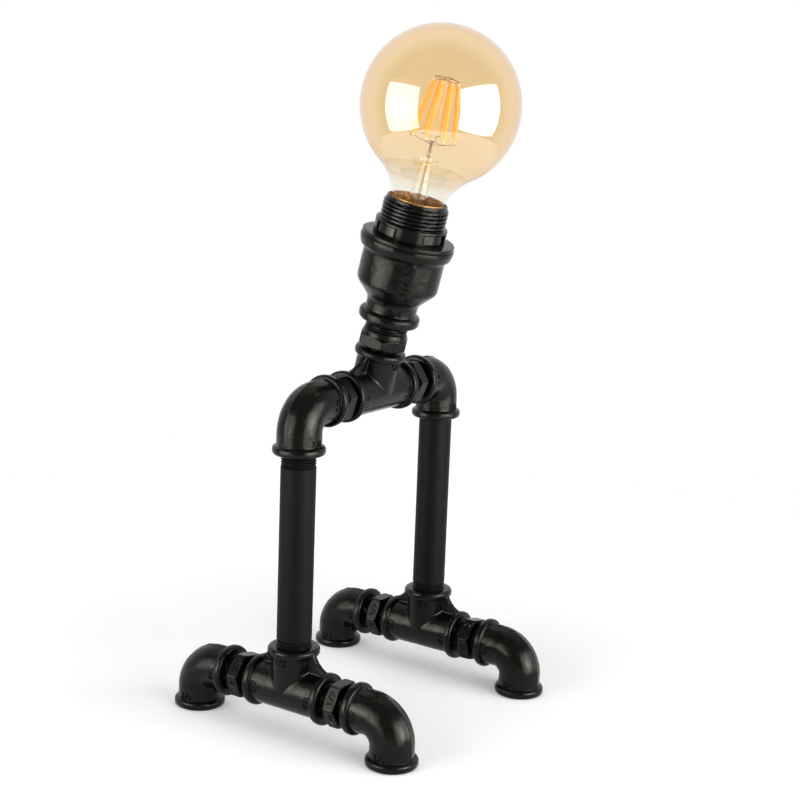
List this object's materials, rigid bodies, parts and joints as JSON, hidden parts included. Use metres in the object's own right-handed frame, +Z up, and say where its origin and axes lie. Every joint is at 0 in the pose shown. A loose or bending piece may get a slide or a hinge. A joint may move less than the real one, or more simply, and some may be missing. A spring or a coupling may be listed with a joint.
{
  "type": "table lamp",
  "caption": "Table lamp of black threaded pipe fittings: two T-shaped legs, a crossbar and a tilting head with a bare amber globe bulb.",
  "frame": {"origin": "middle of the four feet, on the plane that they stand on", "axes": "+Z up; X along the crossbar, +X towards the leg with the cable inlet; Y along the base legs, -Y to the side that the head leans towards"},
  "size_m": [0.1786, 0.18, 0.4252],
  "materials": {
    "fitting_iron": "black paint over a sand-cast skin, satin",
    "nipple_steel": "black paint over turned steel, satin",
    "pipe_steel": "smooth black paint, satin gloss",
    "disc_steel": "smooth black paint, satin",
    "holder_plastic": "moulded black plastic, semi-gloss",
    "insert_ceramic": "white steatite, matt",
    "shell_nickel": "nickel-plated pressed steel",
    "contact_brass": "pressed sprung brass",
    "zinc_steel": "zinc-plated steel",
    "lead_sheath": "black flexible sheath, matt",
    "brown_core": "coloured core insulation",
    "blue_core": "coloured core insulation",
    "earth_core": "green and yellow core insulation",
    "bush_rubber": "moulded black rubber, matt",
    "amber_glass": "blown glass with an amber film",
    "clear_glass": "drawn clear glass",
    "filament_phosphor": "orange-yellow phosphor coating, matt",
    "wire_nickel": "thin drawn wire, oxidised",
    "cap_brass": "pressed brass, copper-brown",
    "insulator_glass": "black fused glass",
    "cement": "baked basing cement",
    "tin_solder": "tinned contact",
    "circuit_board": "glass-fibre board"
  },
  "bodies": {
    "frame": {"foot_elbow_left_front": "fitting_iron", "foot_elbow_left_rear": "fitting_iron", "foot_elbow_right_front": "fitting_iron", "foot_elbow_right_rear": "fitting_iron", "base_tee_left": "fitting_iron", "base_tee_right": "fitting_iron", "top_elbow_left": "fitting_iron", "top_elbow_right": "fitting_iron", "base_nipple_left_front": "nipple_steel", "base_nipple_left_rear": "nipple_steel", "base_nipple_right_front": "nipple_steel", "base_nipple_right_rear": "nipple_steel", "crossbar_nipple_left": "nipple_steel", "crossbar_nipple_right": "nipple_steel", "upright_pipe_left": "pipe_steel", "upright_pipe_right": "pipe_steel", "frame_lead": "lead_sheath", "inlet_bush": "bush_rubber"},
    "head": {"head_tee": "fitting_iron", "head_reducer": "fitting_iron", "head_nipple": "nipple_steel", "cover_disc": "disc_steel", "holder_base": "holder_plastic", "holder_sleeve": "holder_plastic", "holder_insert": "insert_ceramic", "screw_shell": "shell_nickel", "centre_contact": "contact_brass", "neutral_contact": "contact_brass", "clamp_washer": "zinc_steel", "clamp_nut": "zinc_steel", "entry_tube": "zinc_steel", "earth_tag": "zinc_steel", "terminal_screws": "zinc_steel", "head_lead": "lead_sheath", "live_core": "brown_core", "neutral_core": "blue_core", "earth_core": "earth_core"},
    "bulb_contact": {"bulb_tip": "tin_solder"},
    "bulb": {"bulb_globe": "amber_glass", "bulb_stem": "clear_glass", "bulb_filaments": "filament_phosphor", "bulb_cap": "cap_brass", "bulb_insulator": "insulator_glass", "bulb_cement": "cement", "bulb_driver": "circuit_board", "ring_wire_high": "wire_nickel", "ring_wire_low": "wire_nickel", "lead_wires": "wire_nickel"}
  },
  "joints": [
    {"name": "head_tilt", "type": "hinge", "parent": "frame", "child": "head", "pos_m": [-0.0019, 0, 0.2022], "axis": [1, 0, 0], "range_deg": [-73.7, 46.3]},
    {"name": "bulb_lift", "type": "slide", "parent": "head", "child": "bulb_contact", "axis": [0, -0.2368, 0.9715], "range_m": [0, 0.0219]},
    {"name": "bulb_turn", "type": "hinge", "parent": "bulb_contact", "child": "bulb", "pos_m": [-0.0019, -0.02368, 0.29935], "axis": [0, -0.2368, 0.9715], "range_deg": [0, 2160]}
  ],
  "couplings": [
    {"joint": "bulb_lift", "follows": "bulb_turn", "m_per_rad": 0.00057757}
  ]
}
